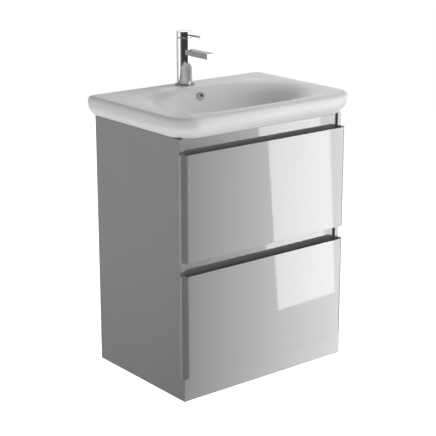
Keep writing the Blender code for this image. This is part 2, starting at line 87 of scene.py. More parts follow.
class Shade:
    """A material being built: a Principled shader and short calls for the nodes that feed it."""

    def __init__(self, name, colour, roughness, metallic=0.0):
        self.material = bpy.data.materials.new(name)
        self.material.use_nodes = True
        self.tree = self.material.node_tree
        self.shader = self.tree.nodes["Principled BSDF"]
        self.shader.inputs["Metallic"].default_value = metallic
        self.shader.inputs["Roughness"].default_value = roughness
        self.colour = colour
        self.roughness = roughness
        coords = self.tree.nodes.new("ShaderNodeTexCoord")
        self.coords = coords.outputs["Object"]
        self.normal = None

    def set(self, **values):
        for key, value in values.items():
            self.shader.inputs[key.replace("_", " ")].default_value = value
        return self

    def link(self, source, target):
        self.tree.links.new(source, target)

    def stretched(self, scale):
        mapping = self.tree.nodes.new("ShaderNodeMapping")
        mapping.inputs["Scale"].default_value = scale
        self.link(self.coords, mapping.inputs["Vector"])
        return mapping.outputs["Vector"]

    def noise(self, scale, detail=3.0, rough=0.5, stretch=None, distortion=0.0):
        made = self.tree.nodes.new("ShaderNodeTexNoise")
        made.inputs["Scale"].default_value = scale
        made.inputs["Detail"].default_value = detail
        made.inputs["Roughness"].default_value = rough
        made.inputs["Distortion"].default_value = distortion
        self.link(self.stretched(stretch) if stretch else self.coords, made.inputs["Vector"])
        return made.outputs["Fac"]

    def cells(self, scale):
        made = self.tree.nodes.new("ShaderNodeTexVoronoi")
        made.inputs["Scale"].default_value = scale
        self.link(self.coords, made.inputs["Vector"])
        return made.outputs["Color"]

    def tint(self, source, spread):
        """Base colour between two tones of the material's colour, by a pattern."""
        dark = tuple(c * (1 - spread) for c in self.colour)
        light = tuple(min(1.0, c * (1 + spread)) for c in self.colour)
        ramp = self.tree.nodes.new("ShaderNodeValToRGB")
        ramp.color_ramp.elements[0].position = NOISE_LOW
        ramp.color_ramp.elements[1].position = NOISE_HIGH
        ramp.color_ramp.elements[0].color = (*dark, 1)
        ramp.color_ramp.elements[1].color = (*light, 1)
        self.link(source, ramp.inputs["Fac"])
        self.link(ramp.outputs["Color"], self.shader.inputs["Base Color"])
        return self

    def rough(self, source, spread):
        """Roughness that varies by a pattern, a spread to each side of the material's own."""
        made = self.tree.nodes.new("ShaderNodeMapRange")
        made.inputs["From Min"].default_value = NOISE_LOW
        made.inputs["From Max"].default_value = NOISE_HIGH
        made.inputs["To Min"].default_value = max(0.0, self.roughness - spread)
        made.inputs["To Max"].default_value = self.roughness + spread
        self.link(source, made.inputs["Value"])
        self.link(made.outputs["Result"], self.shader.inputs["Roughness"])
        return self

    def bump(self, source, height):
        """Adds a relief of that height to those made before."""
        made = self.tree.nodes.new("ShaderNodeBump")
        made.inputs["Distance"].default_value = height
        self.link(source, made.inputs["Height"])
        if self.normal:
            self.link(self.normal, made.inputs["Normal"])
        self.normal = made.outputs["Normal"]
        self.link(self.normal, self.shader.inputs["Normal"])
        return self

    def coat(self, weight, roughness, ior):
        self.set(Coat_Weight=weight, Coat_Roughness=roughness, Coat_IOR=ior)
        if self.normal:
            self.link(self.normal, self.shader.inputs["Coat Normal"])
        return self


def grey(value):
    return (value, value, value)


def make_materials():
    made = {}

    lacquer = Shade("gloss_lacquer", grey(0.25), 0.10)
    lacquer.tint(lacquer.noise(9, 4, 0.6), 0.02)
    lacquer.rough(lacquer.noise(35, 5, 0.65), 0.035)
    lacquer.bump(lacquer.noise(420, 2), 0.000006).bump(lacquer.noise(26, 2), 0.00002)
    lacquer.set(Specular_IOR_Level=0.12)
    made["lacquer"] = lacquer.coat(1.0, 0.003, 1.85)

    board = Shade("melamine_board", grey(0.60), 0.42)
    board.tint(board.noise(1500, 3, 0.7), 0.06).rough(board.noise(60, 4), 0.06)
    board.bump(board.noise(2600, 3, 0.6, (1, 1, 0.35)), 0.00007)
    made["board"] = board

    ceramic = Shade("glazed_ceramic", grey(0.78), 0.34)
    ceramic.tint(ceramic.noise(14, 5, 0.6), 0.012).rough(ceramic.noise(50, 4), 0.03)
    ceramic.bump(ceramic.noise(600, 2), 0.000010).bump(ceramic.noise(17, 2, 0.4), 0.00012)
    ceramic.set(Specular_IOR_Level=0.35)
    made["ceramic"] = ceramic.coat(0.15, 0.22, 1.5)

    chrome = Shade("chrome", grey(0.78), 0.05, 1.0)
    chrome.tint(chrome.noise(40, 4), 0.03).rough(chrome.noise(150, 6, 0.7), 0.025)
    chrome.bump(chrome.noise(900, 2), 0.000006)
    made["chrome"] = chrome

    # Painted shade: a darker copy of the chrome, so the tap's flange, spout and lever read darker
    # than its column.
    bar = Shade("shaded_chrome", grey(0.42), 0.10, 1.0)
    bar.tint(bar.noise(40, 4), 0.03).rough(bar.noise(150, 6, 0.7), 0.03)
    bar.bump(bar.noise(900, 2), 0.000006)
    made["bar"] = bar

    steel = Shade("zinc_steel", (0.56, 0.57, 0.59), 0.34, 1.0)
    steel.tint(steel.cells(260), 0.12).rough(steel.noise(1400, 3, 0.6, (1, 0.03, 1)), 0.10)
    steel.bump(steel.noise(1600, 3, 0.6, (1, 0.03, 1)), 0.00004)
    made["steel"] = steel

    plastic = Shade("white_plastic", grey(0.62), 0.40)
    plastic.tint(plastic.noise(24, 4), 0.03).rough(plastic.noise(90, 4), 0.05)
    plastic.bump(plastic.noise(1900, 3, 0.7), 0.00008)
    made["plastic"] = plastic

    brass = Shade("machined_brass", (0.68, 0.50, 0.23), 0.26, 1.0)
    brass.tint(brass.noise(45, 5, 0.65), 0.14).rough(brass.noise(900, 3, 0.6, (1, 1, 0.08)), 0.10)
    brass.bump(brass.noise(1500, 3, 0.6, (1, 1, 6)), 0.00004)
    made["brass"] = brass

    rubber = Shade("black_rubber", grey(0.035), 0.75)
    rubber.tint(rubber.noise(120, 4), 0.25).rough(rubber.noise(80, 4), 0.08)
    rubber.bump(rubber.noise(2200, 3, 0.7), 0.0001)
    made["rubber"] = rubber

    timber = Shade("beech", (0.50, 0.31, 0.15), 0.55)
    timber.tint(timber.noise(420, 5, 0.6, (0.08, 1, 1), 0.6), 0.25)
    timber.rough(timber.noise(200, 4), 0.08)
    timber.bump(timber.noise(800, 4, 0.6, (0.08, 1, 1)), 0.00015)
    made["timber"] = timber

    return {key: shade.material for key, shade in made.items()}


MATS = make_materials()


# ---------------------------------------------------------------- mesh helpers


def to_object(shape, name, look, angle=40):
    """An object from a bmesh, smooth but for edges sharper than angle."""
    mesh = bpy.data.meshes.new(name)
    bmesh.ops.recalc_face_normals(shape, faces=shape.faces)
    shape.to_mesh(mesh)
    shape.free()
    mesh.shade_smooth()
    mesh.set_sharp_from_angle(angle=math.radians(angle))
    mesh.materials.append(MATS[look])
    made = bpy.data.objects.new(name, mesh)
    bpy.context.scene.collection.objects.link(made)
    return made


def stands_for(made, node):
    """The finished piece rides with the node's body and replaces it."""
    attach(made, BODY_OF[node])
    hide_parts(node)
    return made


def ease(made, width, segments=3, angle=32):
    """Rounds every edge sharper than angle, and keeps the flats flat."""
    rounding = made.modifiers.new("ease", "BEVEL")
    rounding.width = width
    rounding.segments = segments
    rounding.limit_method = "ANGLE"
    rounding.angle_limit = math.radians(angle)
    rounding.use_clamp_overlap = True
    weigh = made.modifiers.new("weigh", "WEIGHTED_NORMAL")
    weigh.keep_sharp = False
    return made


def clean_copy(node):
    """The CAD node's mesh, with its split corners joined and its flat faces whole."""
    shape = bmesh.new()
    shape.from_mesh(NODES[node].data)
    bmesh.ops.remove_doubles(shape, verts=shape.verts, dist=1e-6)
    bmesh.ops.dissolve_limit(
        shape,
        angle_limit=math.radians(0.5),
        verts=shape.verts,
        edges=shape.edges,
        use_dissolve_boundaries=False,
    )
    return shape


def eased(node, width, segments=3):
    """The CAD node's own shape, with its edges rounded."""
    made = to_object(clean_copy(node), f"{node}_eased", SLOT_OF[node])
    return stands_for(ease(made, width, segments), node)


def prism(corners, offset):
    """A flat outline swept straight along an offset."""
    shape = bmesh.new()
    face = shape.faces.new([shape.verts.new(corner) for corner in corners])
    swept = bmesh.ops.extrude_face_region(shape, geom=[face])["geom"]
    moved = [v for v in swept if isinstance(v, bmesh.types.BMVert)]
    bmesh.ops.translate(shape, vec=offset, verts=moved)
    return shape


def lathe(shape, profile, origin, axis=UP, steps=96):
    """Sweeps a closed (radius, height) outline round an axis. Radius 0 closes on the axis."""
    turn = Vector(UP).rotation_difference(Vector(axis)).to_matrix()
    rings = []
    for radius, height in profile:
        if radius == 0:
            tip = shape.verts.new(Vector(origin) + turn @ Vector((0, 0, height)))
            rings.append([tip] * steps)
            continue
        ring = []
        for i in range(steps):
            a = 2 * math.pi * (i + 0.5) / steps
            point = Vector((radius * math.cos(a), radius * math.sin(a), height))
            ring.append(shape.verts.new(Vector(origin) + turn @ point))
        rings.append(ring)
    for first, second in zip(rings, rings[1:] + rings[:1]):
        if first[0] is first[1] and second[0] is second[1]:
            continue
        for i in range(steps):
            j = (i + 1) % steps
            shape.faces.new(list(dict.fromkeys((first[i], first[j], second[j], second[i]))))


FILLET_STEPS = 4


def fillet(profile, radii):
    """Rounds the corners of a closed outline. Radii maps a corner's index to its radius."""
    out = []
    count = len(profile)
    for i, corner in enumerate(profile):
        if i not in radii:
            out.append(corner)
            continue
        here = Vector(corner)
        before, after = Vector(profile[i - 1]), Vector(profile[(i + 1) % count])
        u, v = (before - here).normalized(), (after - here).normalized()
        half_angle = math.acos(max(-1.0, min(1.0, u.dot(v)))) / 2
        reach = radii[i] / math.tan(half_angle)
        centre = here + (u + v).normalized() * radii[i] / math.sin(half_angle)
        start, end = here + u * reach - centre, here + v * reach - centre
        sweep = math.pi - 2 * half_angle
        turn = math.copysign(sweep, start.x * end.y - start.y * end.x)
        for k in range(FILLET_STEPS + 1):
            a = turn * k / FILLET_STEPS
            c, s = math.cos(a), math.sin(a)
            x, y = c * start.x - s * start.y, s * start.x + c * start.y
            out.append((centre.x + x, centre.y + y))
    return out


def turned(name, node, profile, origin, axis=UP, radii=None, steps=96):
    """A lathed piece with rounded corners that stands for a CAD node."""
    shape = bmesh.new()
    lathe(shape, fillet(profile, radii or {}), origin, axis, steps)
    return stands_for(to_object(shape, name, SLOT_OF[node], 30), node)


def restyle(made, look):
    """Gives a finished piece another look than its slot's usual one."""
    made.data.materials.clear()
    made.data.materials.append(MATS[look])


def cut(target, tool_shape, name):
    """A Boolean difference, applied at once, so no helper is left behind."""
    tool = to_object(tool_shape, name, "chrome")
    step = target.modifiers.new("cut", "BOOLEAN")
    step.operation = "DIFFERENCE"
    step.solver = "EXACT"
    step.object = tool
    bpy.context.view_layer.update()
    graph = bpy.context.evaluated_depsgraph_get()
    result = bpy.data.meshes.new_from_object(target.evaluated_get(graph))
    target.modifiers.remove(step)
    old = target.data
    target.data = result
    bpy.data.meshes.remove(old)
    bpy.data.objects.remove(tool, do_unlink=True)


def drill(target, name, radius, reach, place, axis=UP, steps=64):
    """Cuts a round hole that runs from a point along an axis, a reach to each side."""
    tool = bmesh.new()
    outline = [(0, -reach), (radius, -reach), (radius, reach), (0, reach)]
    lathe(tool, outline, place, axis, steps)
    cut(target, tool, name)


# ---------------------------------------------------------------- cabinet

# Widths of the rounding on the pieces' edges.
EDGE_LACQUER = 0.0007
EDGE_FRONT = 0.0009
EDGE_BOARD = 0.0005
EDGE_STEEL = 0.00035
EDGE_MOULDED = 0.0012
EDGE_SPOUT = 0.0011
EDGE_NUT = 0.0005
EDGE_DOWEL = 0.0004

for word in ("left", "right"):
    eased(f"{word}_side_panel", EDGE_LACQUER)
    eased(f"{word}_wall_bracket", EDGE_STEEL, 2)
for node in ("top_front_rail", "middle_front_rail", "plinth_board"):
    eased(node, EDGE_LACQUER)
for node in NODES:
    if SLOT_OF[node] == "board":
        eased(node, EDGE_BOARD)
    elif "member" in node:
        eased(node, EDGE_STEEL, 2)
eased("siphon_recess", EDGE_MOULDED)

# Depths of a drawer front's back and face, and the radius of its vertical edges.
FRONT_BACK, FRONT_FACE, FRONT_RADIUS = 0.4083, 0.428, 0.0197
# The finger cut behind a front's top edge, and the lip that it leaves.
FINGER_DEPTH, LIP, LIP_HEIGHT = 0.045, 0.0025, 0.002
FINGER_ENDS = 0.006  # how far the cut runs into the round edges
PAST = 0.010  # how far the cutting wedge stands out of the front
ARC_STEPS = 20


def drawer_front(node):
    """A thick slab with full-round vertical edges, thinned at the top to a lip."""
    low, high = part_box(node)
    bend = FRONT_HALF - FRONT_RADIUS
    right = []
    for i in range(ARC_STEPS + 1):
        a = math.radians(90 * i / ARC_STEPS)
        x, depth = bend + FRONT_RADIUS * math.cos(a), FRONT_BACK + FRONT_RADIUS * math.sin(a)
        right.append((x, depth))
    outline = right + [(-x, depth) for x, depth in reversed(right)]
    slab = prism([at(x, depth, low.z) for x, depth in outline], (0, 0, high.z - low.z))
    front = to_object(slab, f"{node}_slab", "lacquer", 30)
    reach = bend + FINGER_ENDS
    outline = [
        (FRONT_BACK - PAST, -FINGER_DEPTH - 0.012),
        (FRONT_BACK - PAST, PAST),
        (FRONT_FACE - LIP, PAST),
        (FRONT_FACE - LIP, -LIP_HEIGHT),
        (FRONT_BACK, -FINGER_DEPTH),
    ]
    wedge = prism([at(-reach, depth, high.z + z) for depth, z in outline], (2 * reach, 0, 0))
    cut(front, wedge, "finger_cut")
    stands_for(ease(front, EDGE_FRONT, 4, 30), node)


drawer_front("upper_drawer_front")
drawer_front("lower_drawer_front")


# ---------------------------------------------------------------- basin

RING_POINTS = 176
# Rings between two rows of the tables below.
TOP_STEPS = 7
UNDER_STEPS = 4
HOLE_STEPS = 2

# Each row is one outline of the basin. In order: half width, depth of its back and of its front,
# height, radius of the front corners and of the back corners, the share of a superellipse that is
# blended in, and that superellipse's power.
OUTSIDE = [
    (0.2975, 0.000, 0.4205, 0.7580, 0.059, 0.004, 0, 2.8),
    (0.3005, 0.000, 0.4232, 0.7590, 0.060, 0.004, 0, 2.8),
    (0.3120, 0.000, 0.4325, 0.7690, 0.064, 0.005, 0, 2.8),
    (0.3215, 0.000, 0.4410, 0.7815, 0.068, 0.006, 0, 2.8),
    (0.3262, 0.000, 0.4452, 0.7950, 0.070, 0.006, 0, 2.8),
    (0.3268, 0.000, 0.4458, 0.8050, 0.070, 0.006, 0, 2.8),
    (0.3255, 0.000, 0.4447, 0.8125, 0.069, 0.006, 0, 2.8),
    (0.3218, 0.001, 0.4412, 0.8177, 0.066, 0.006, 0, 2.8),
    (0.3160, 0.003, 0.4355, 0.8200, 0.062, 0.007, 0, 2.8),
    (0.3090, 0.006, 0.4285, 0.8205, 0.058, 0.008, 0, 2.8),
]
BOWL = [
    (0.2980, 0.060, 0.4190, 0.8201, 0.056, 0.030, 0.10, 2.8),
    (0.2840, 0.080, 0.4105, 0.8185, 0.055, 0.040, 0.40, 2.8),
    (0.2680, 0.093, 0.4035, 0.8152, 0.055, 0.045, 0.75, 2.7),
    (0.2520, 0.103, 0.3970, 0.8095, 0.055, 0.050, 0.95, 2.7),
    (0.2350, 0.111, 0.3900, 0.8010, 0.055, 0.050, 1, 2.7),
    (0.2160, 0.1195, 0.3815, 0.7870, 0.055, 0.050, 1, 2.7),
    (0.1900, 0.1325, 0.3650, 0.7630, 0.055, 0.050, 1, 2.65),
    (0.1560, 0.152, 0.3420, 0.7350, 0.055, 0.050, 1, 2.6),
    (0.1080, 0.180, 0.3120, 0.7120, 0.055, 0.050, 1, 2.5),
    (0.0580, 0.210, 0.2820, 0.7040, 0.055, 0.050, 1, 2.3),
    (0.0235, 0.2225, 0.2695, 0.7020, 0.020, 0.020, 1, 2.0),
]
HOLE = [
    (0.0225, 0.2235, 0.2685, 0.7010, 0.020, 0.020, 1, 2.0),
    (0.0225, 0.2235, 0.2685, 0.6890, 0.020, 0.020, 1, 2.0),
]
BELLY = [
    (0.0240, 0.2220, 0.2700, 0.6880, 0.020, 0.020, 1, 2.0),
    (0.0660, 0.203, 0.289, 0.6900, 0.05, 0.05, 1, 2.5),
    (0.1180, 0.170, 0.322, 0.6980, 0.05, 0.05, 1, 2.7),
    (0.1720, 0.140, 0.354, 0.7220, 0.05, 0.05, 1, 2.8),
    (0.2120, 0.119, 0.378, 0.7550, 0.05, 0.05, 1, 2.8),
    (0.2460, 0.104, 0.392, 0.7850, 0.05, 0.05, 1, 2.8),
    (0.2640, 0.096, 0.397, 0.7970, 0.06, 0.03, 1, 3.2),
]
POCKET = [
    (0.2660, 0.013, 0.3985, 0.7980, 0.060, 0.004, 0, 2.8),
    (0.2680, 0.011, 0.4000, 0.7970, 0.060, 0.004, 0, 2.8),
    (0.2700, 0.010, 0.4020, 0.7590, 0.060, 0.004, 0, 2.8),
    (0.2710, 0.009, 0.4030, 0.7580, 0.060, 0.004, 0, 2.8),
]


def smooth_rows(rows, steps):
    """Rows between the given ones on a monotone cubic: flats stay flat, nothing overshoots."""
    table = np.array(rows, float)
    move = np.diff(table[:, [0, 2, 3]], axis=0)
    along = np.concatenate([[0], np.cumsum(np.sqrt((move**2).sum(1)) + 1e-6)])
    width = np.diff(along)[:, None]
    slope = np.diff(table, axis=0) / width
    tangent = np.zeros_like(table)
    tangent[0], tangent[-1] = slope[0], slope[-1]
    for i in range(1, len(table) - 1):
        w1, w2 = 2 * width[i] + width[i - 1], width[i] + 2 * width[i - 1]
        same = slope[i - 1] * slope[i] > 0
        before, after = np.where(same, slope[i - 1], 1), np.where(same, slope[i], 1)
        tangent[i] = np.where(same, (w1 + w2) / (w1 / before + w2 / after), 0)
    out = []
    for i in range(len(table) - 1):
        for k in range(steps):
            t = k / steps
            start = (2 * t**3 - 3 * t**2 + 1) * table[i]
            leave = (t**3 - 2 * t**2 + t) * width[i] * tangent[i]
            end = (3 * t**2 - 2 * t**3) * table[i + 1]
            arrive = (t**3 - t**2) * width[i] * tangent[i + 1]
            out.append(start + leave + end + arrive)
    out.append(table[-1])
    return out


ROUNDEST = 0.98  # the largest corner radius, as a share of the outline's half width


def square_direction(i, count):
    """The i-th of count points round a square, closer together towards its corners."""
    side, step = divmod(i, count // 4)
    along = math.sin(math.pi * (step / (count // 4) - 0.5))
    return [(1, along), (-along, 1), (-1, -along), (along, -1)][side]


def basin_ring(row):
    """The points of one outline: a box with round corners, blended towards a superellipse."""
    half, back, front, height, front_radius, back_radius, share, power = row
    centre, deep = (back + front) / 2, (front - back) / 2
    points = []
    for i in range(RING_POINTS):
        u, v = square_direction(i, RING_POINTS)
        x, y = half * u, deep * v
        radius = front_radius if y > 0 else back_radius
        radius = min(radius, half * ROUNDEST, deep * ROUNDEST)
        over_x, over_y = abs(x) - (half - radius), abs(y) - (deep - radius)
        if over_x > 0 and over_y > 0:
            scale = max(over_x, over_y) / math.hypot(over_x, over_y)
            x = math.copysign(half - radius + over_x * scale, x)
            y = math.copysign(deep - radius + over_y * scale, y)
        scale = (abs(u) ** power + abs(v) ** power) ** (-1 / power)
        x += (half * u * scale - x) * share
        y += (deep * v * scale - y) * share
        points.append(at(x, centre + y, height))
    return points


OVERFLOW = at(0, 0.1145, 0.7975)
OVERFLOW_AXIS = Vector((0, -0.83, 0.55)).normalized()


def basin():
    """One closed skin: up the outside, down the bowl, through the waste hole, back underneath."""
    rows = smooth_rows(OUTSIDE + BOWL, TOP_STEPS) + smooth_rows(HOLE, HOLE_STEPS)
    rows += smooth_rows(BELLY, UNDER_STEPS) + smooth_rows(POCKET, HOLE_STEPS)
    shape = bmesh.new()
    rings = [[shape.verts.new(p) for p in basin_ring(row)] for row in rows]
    for first, second in zip(rings, rings[1:] + rings[:1]):
        for i in range(RING_POINTS):
            j = (i + 1) % RING_POINTS
            shape.faces.new((first[i], first[j], second[j], second[i]))
    made = to_object(shape, "basin_shell", "ceramic", 60)
    drill(made, "tap_hole", 0.0175, 0.04, at(0, TAP_DEPTH, RIM))
    drill(made, "overflow_hole", 0.008, 0.008, OVERFLOW, OVERFLOW_AXIS, 48)
    made.data.shade_smooth()
    made.data.set_sharp_from_angle(angle=math.radians(50))
    stands_for(made, "basin")


basin()


# ---------------------------------------------------------------- water fittings

# Profiles are (radius, height) corners. Where radii are given, they round corners by their index.

ring_profile = [
    (0.0062, 0.0030),
    (0.0062, -0.0070),
    (0.0074, -0.0070),
    (0.0074, 0),
    (0.0118, 0),
    (0.0118, 0.0010),
    (0.0098, 0.0030),
]
ring_origin = OVERFLOW + OVERFLOW_AXIS * 0.0016
ring_radii = {0: 0.0009, 5: 0.0006, 6: 0.0012}
turned("overflow_trim", "overflow_ring", ring_profile, ring_origin, OVERFLOW_AXIS, ring_radii)

waste_origin = at(0, BOWL_CENTRE, 0)
waste_profile = [
    (0.0195, 0.7078),
    (0.0195, 0.640),
    (0.0220, 0.640),
    (0.0220, 0.7046),
    (0.0315, 0.7046),
    (0.0315, 0.7060),
    (0.0290, 0.7078),
]
shape = bmesh.new()
lathe(shape, fillet(waste_profile, {0: 0.0008, 5: 0.0005, 6: 0.0010}), waste_origin)
bar = bmesh.new()
middle = Matrix.Translation(at(0, BOWL_CENTRE, 0.6585))
bar_size = Matrix.Diagonal((0.041, 0.008, 0.007, 1.0))
bmesh.ops.create_cube(bar, size=1.0, matrix=middle @ bar_size)
bridge = to_object(bar, "waste_bridge", "chrome")
drill(bridge, "waste_stem_hole", 0.0029, 0.01, middle.translation, steps=48)
shape.from_mesh(bridge.data)
bpy.data.objects.remove(bridge, do_unlink=True)
stands_for(to_object(shape, "waste_flange", "chrome", 30), "waste_body")

plug_origin = at(0, BOWL_CENTRE, 0.7145)
plug_profile = [
    (0, -0.066),
    (0.0025, -0.066),
    (0.0025, 0),
    (0.0300, 0),
    (0.0300, 0.0020),
    (0.0220, 0.0040),
    (0, 0.0048),
]
plug_radii = {3: 0.0004, 4: 0.0012, 5: 0.004}
turned("waste_cap", "waste_plug", plug_profile, plug_origin, radii=plug_radii)

seal_profile = [(0.0224, 0.6748), (0.0320, 0.6748), (0.0320, 0.6872), (0.0224, 0.6872)]
seal_radii = {1: 0.0015, 2: 0.0015}
turned("waste_washer", "waste_seal", seal_profile, waste_origin, radii=seal_radii)

trap_profile = [
    (0.0224, 0.648),
    (0.0224, 0.630),
    (0.0160, 0.630),
    (0.0160, 0.560),
    (0.0180, 0.560),
    (0.0180, 0.6255),
    (0.0275, 0.6255),
    (0.0275, 0.5650),
    (0.0300, 0.5650),
    (0.0300, 0.6270),
    (0.0262, 0.6320),
    (0.0262, 0.6480),
]
shape = bmesh.new()
lathe(shape, fillet(trap_profile, {8: 0.0005, 9: 0.004, 10: 0.002, 11: 0.0008}), waste_origin)
trap_body = to_object(shape, "trap_bottle", "chrome", 30)
outlet = at(0, BOWL_CENTRE - 0.0305, OUTLET_HEIGHT)
drill(trap_body, "trap_outlet_hole", 0.014, 0.01, outlet, TO_WALL)
stands_for(trap_body, "trap_body")

cup_profile = [
    (0, 0.5400),
    (0.0260, 0.5400),
    (0.0305, 0.5440),
    (0.0305, 0.5647),
    (0.0268, 0.5647),
    (0.0268, 0.5450),
    (0, 0.5450),
]
cup_radii = {1: 0.002, 2: 0.002, 3: 0.0008}
turned("trap_bottom_cup", "trap_cup", cup_profile, waste_origin, radii=cup_radii)

pipe_length = WALL - outlet.y - 0.001
pipe_profile = [(0.0140, 0), (0.0160, 0), (0.0160, pipe_length), (0.0140, pipe_length)]
turned("trap_pipe", "trap_outlet_pipe", pipe_profile, outlet, TO_WALL)
nut_profile = [(0.0163, 0.004), (0.0210, 0.004), (0.0210, 0.026), (0.0163, 0.026)]
nut_radii = {1: 0.001, 2: 0.001}
turned("trap_pipe_nut", "trap_outlet_nut", nut_profile, outlet, TO_WALL, nut_radii)
plate_profile = [
    (0.0163, 0),
    (0.0190, 0),
    (0.0310, 0.0050),
    (0.0310, 0.0060),
    (0.0163, 0.0060),
]
plate_origin = at(0, 0.0065, OUTLET_HEIGHT)
plate_radii = {1: 0.002, 2: 0.0008}
turned("wall_rose", "wall_plate", plate_profile, plate_origin, TO_WALL, plate_radii)


# ---------------------------------------------------------------- tap

TAP_STEPS = 128  # facets round the tap's large pieces
ROD_STEPS = 48  # facets round its thin ones

base = at(0, TAP_DEPTH, RIM)
flange_profile = [
    (0.0120, 0.0003),
    (0.0300, 0.0003),
    (0.0300, 0.0020),
    (0.0290, 0.0030),
    (0.0120, 0.0030),
]
flange_radii = {2: 0.0005, 3: 0.0007}
flange = turned(
    "tap_flange", "tap_base_ring", flange_profile, base, radii=flange_radii, steps=TAP_STEPS
)
# Painted shade: the flange takes the darker copy of the chrome.
restyle(flange, "bar")

body_profile = [
    (0, 0.0236),
    (0.0052, 0.0236),
    (0.0052, 0.0034),
    (TAP_RADIUS, 0.0034),
    (TAP_RADIUS, 0.1420),
    (0.0190, 0.1420),
    (0.0190, 0.0950),
    (0, 0.0950),
]
body_radii = {3: 0.0005, 4: 0.0006}
turned("tap_column", "tap_body", body_profile, base, radii=body_radii, steps=TAP_STEPS)

cartridge_profile = [
    (0.0060, 0.0953),
    (0.0186, 0.0953),
    (0.0186, 0.1360),
    (0.0150, 0.1400),
    (0.0060, 0.1400),
]
turned("tap_cartridge_housing", "tap_cartridge", cartridge_profile, base, radii={3: 0.001})
stud_profile = [(0, -0.0500), (0.0040, -0.0500), (0.0040, 0.0200), (0, 0.0200)]
turned("tap_stud", "tap_fixing_stud", stud_profile, base, radii={1: 0.0006}, steps=ROD_STEPS)
washer_profile = [(0.0045, -0.0270), (0.0215, -0.0270), (0.0215, -0.0230), (0.0045, -0.0230)]
washer_radii = {1: 0.0008, 2: 0.0008}
turned("tap_washer", "tap_fixing_washer", washer_profile, base, radii=washer_radii)

joint = at(0, TAP_DEPTH, TAP_JOINT)
top = TAP_TOP - TAP_JOINT
cap_profile = [
    (0, top),
    (TAP_RADIUS, top),
    (TAP_RADIUS, 0.0028),
    (TAP_RADIUS - 0.0016, 0.0010),
    (0.0200, 0.0010),
    (0.0200, top - 0.0040),
    (0, top - 0.0040),
]
cap_radii = {1: 0.0012, 2: 0.0005}
turned("tap_head_cap", "tap_cap", cap_profile, joint, radii=cap_radii, steps=TAP_STEPS)
stem_profile = [
    (0, -0.0120),
    (0.0055, -0.0120),
    (0.0055, 0.0020),
    (0.0040, 0.0035),
    (0.0040, 0.0090),
    (0, 0.0090),
]
turned("tap_spindle", "tap_stem", stem_profile, joint, steps=ROD_STEPS)

lever_root = at(0, TAP_DEPTH + TAP_RADIUS + 0.0004, 0.9716)
lever_profile = [(0, 0), (0.0030, 0), (0.0028, 0.0535), (0, 0.0535)]
lever_radii = {2: 0.0018}
lever = turned(
    "tap_lever_rod", "tap_lever", lever_profile, lever_root, TO_FRONT, lever_radii, ROD_STEPS
)
# Painted shade: the lever takes the darker copy of the chrome.
restyle(lever, "bar")

aerator_profile = [
    (0.0070, -0.0008),
    (0.0100, -0.0008),
    (0.0100, 0.0070),
    (0, 0.0070),
    (0, 0.0050),
    (0.0070, 0.0050),
]
aerator_origin = at(0, 0.150, 0.9130)
aerator_radii = {0: 0.0004, 1: 0.0004}
turned("tap_aerator_ring", "tap_aerator", aerator_profile, aerator_origin, radii=aerator_radii)
# Painted shade: the spout takes the darker copy of the chrome.
restyle(eased("tap_spout", EDGE_SPOUT, 4), "bar")
for node in ("waste_nut", "tap_fixing_nut"):
    eased(node, EDGE_NUT, 2)
for node in NODES:
    if "dowel" in node:
        eased(node, EDGE_DOWEL, 2)

# The CAD's own nodes take the same looks.
for node, thing in NODES.items():
    thing.data.materials.clear()
    thing.data.materials.append(MATS[SLOT_OF[node]])


# ---------------------------------------------------------------- studio


def emission(name, build):
    """A material whose only shader is an emission, which build sets up."""
    made = bpy.data.materials.new(name)
    made.use_nodes = True
    tree = made.node_tree
    tree.nodes.clear()
    output = tree.nodes.new("ShaderNodeOutputMaterial")
    shader = tree.nodes.new("ShaderNodeEmission")
    tree.links.new(shader.outputs[0], output.inputs[0])
    build(tree, shader)
    return made


def feed(tree, socket, value):
    """Links a socket to another one, or sets it to a constant."""
    if isinstance(value, bpy.types.NodeSocket):
        tree.links.new(value, socket)
    else:
        socket.default_value = value


def maths(tree, operation, first, second):
    node = tree.nodes.new("ShaderNodeMath")
    node.operation = operation
    feed(tree, node.inputs[0], first)
    feed(tree, node.inputs[1], second)
    return node.outputs[0]


def mixed(tree, factor, first, second, blend_type="MIX"):
    """Two colours mixed by a factor."""
    node = tree.nodes.new("ShaderNodeMix")
    node.data_type = "RGBA"
    node.blend_type = blend_type
    feed(tree, node.inputs["Factor"], factor)
    feed(tree, node.inputs["A"], first)
    feed(tree, node.inputs["B"], second)
    return node.outputs["Result"]


def parts_of(tree, kind):
    """X, Y and Z of a texture coordinate, as sockets."""
    coords = tree.nodes.new("ShaderNodeTexCoord")
    parts = tree.nodes.new("ShaderNodeSeparateXYZ")
    tree.links.new(coords.outputs[kind], parts.inputs[0])
    return parts.outputs


def stepped(tree, value, stops, low, high):
    """A grey that follows stops of (value, brightness) along a range."""
    unit = maths(tree, "DIVIDE", maths(tree, "SUBTRACT", value, low), high - low)
    ramp = tree.nodes.new("ShaderNodeValToRGB")
    elements = ramp.color_ramp.elements
    while len(elements) < len(stops):
        elements.new(0.5)
    for element, (place, brightness) in zip(elements, stops):
        element.position = (place - low) / (high - low)
        element.color = (*grey(brightness), 1)
    tree.links.new(unit, ramp.inputs["Fac"])
    return ramp.outputs["Color"]


# Brightness round the horizon by compass angle: degrees from the cabinet's front towards its right.
HORIZON = [
    (-180, 0.60),
    (-137, 0.60),
    (-130, 1.45),
    (-106, 1.35),
    (-94, 0.35),
    (-84, 0.12),
    (-60, 0.05),
    (12, 0.05),
    (18, 1.40),
    (100, 1.45),
    (140, 1.10),
    (180, 0.60),
]
# The sky's brightness, and its share of the mix, by the height of a direction's unit vector.
OVERHEAD = 0.34
RISE = [(-1, 0), (0.02, 0), (0.20, 1), (1, 1)]
# The share of the horizon's brightness that is left at each such height, below the horizon.
FALL = [(-1, 0.45), (-0.42, 0.45), (-0.36, 0.72), (-0.30, 0.90), (-0.22, 0.97), (0, 1), (1, 1)]
